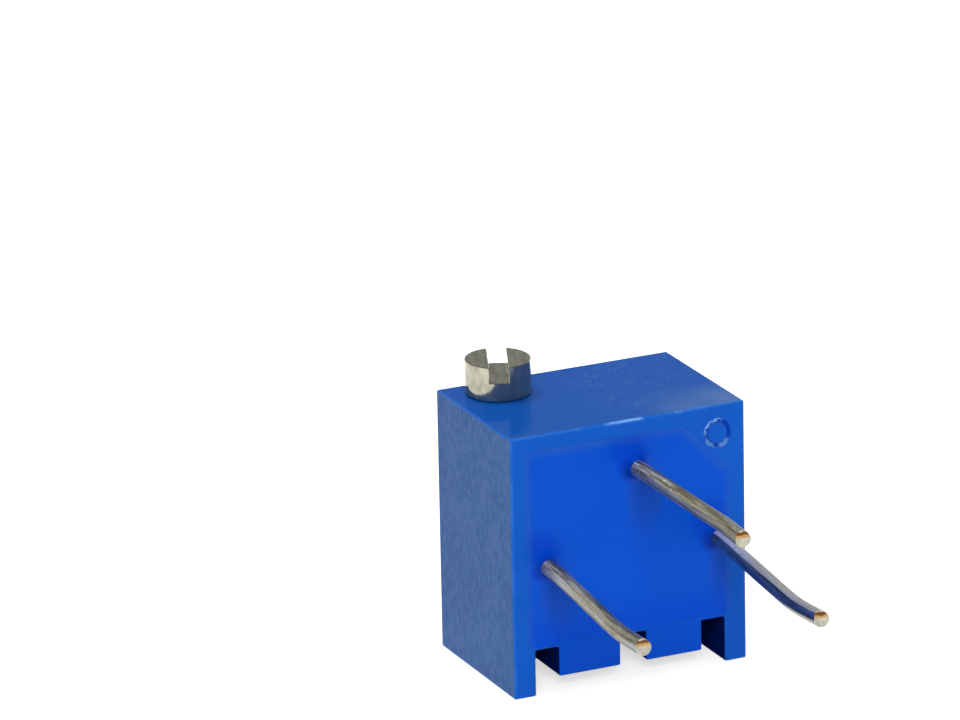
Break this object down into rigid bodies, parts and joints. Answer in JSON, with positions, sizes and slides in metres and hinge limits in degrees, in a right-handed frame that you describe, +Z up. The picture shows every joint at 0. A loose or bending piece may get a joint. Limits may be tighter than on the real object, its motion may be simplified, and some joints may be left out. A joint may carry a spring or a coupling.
{
  "type": "trimmer potentiometer",
  "caption": "Square blue multi-turn trimmer with a slotted top screw driving a worm and wheel wiper, and round wire leads on one side",
  "frame": {"origin": "centre of the whole part's box at the level of the feet, leads included", "axes": "+Z up from the feet towards the screw head, -Y the way the leads point, +X to the right seen from the lead side, so the screw is towards -X"},
  "size_m": [0.007, 0.0114, 0.0084],
  "materials": {
    "blue_moulding": "matte",
    "blue_epoxy": "gloss",
    "alumina": "matte",
    "cermet": "matte",
    "silver_print": "satin",
    "tinned_wire": "satin",
    "solder": "satin",
    "plated_screw": "polished",
    "seal_rubber": "matte",
    "clip_steel": "satin",
    "white_nylon": "matte",
    "spring_alloy": "polished"
  },
  "bodies": {
    "body": {"housing": "blue_moulding", "potting_seal": "blue_epoxy", "substrate": "alumina", "resistive_track": "cermet", "collector_ring": "silver_print", "end_pad_ccw": "silver_print", "end_pad_cw": "silver_print", "conductor_ccw": "silver_print", "conductor_wiper": "silver_print", "conductor_cw": "silver_print", "lead_ccw": "tinned_wire", "lead_wiper": "tinned_wire", "lead_cw": "tinned_wire", "solder_ccw": "solder", "solder_wiper": "solder", "solder_cw": "solder", "screw_retaining_clip": "clip_steel"},
    "screw": {"adjustment_screw": "plated_screw", "screw_o_ring": "seal_rubber"},
    "wheel": {"worm_wheel": "white_nylon", "wiper": "spring_alloy"}
  },
  "joints": [
    {"name": "screw_turn", "type": "hinge", "parent": "body", "child": "screw", "pos_m": [-0.00211, 0.00467, 0.0039], "axis": [0, 0, 1], "range_deg": [-2160, 2160]},
    {"name": "wheel_turn", "type": "hinge", "parent": "body", "child": "wheel", "pos_m": [0.00044, 0.00467, 0.0039], "axis": [0, 1, 0], "range_deg": [-144, 144]}
  ],
  "couplings": [
    {"joint": "wheel_turn", "follows": "screw_turn", "ratio": -0.066667}
  ]
}
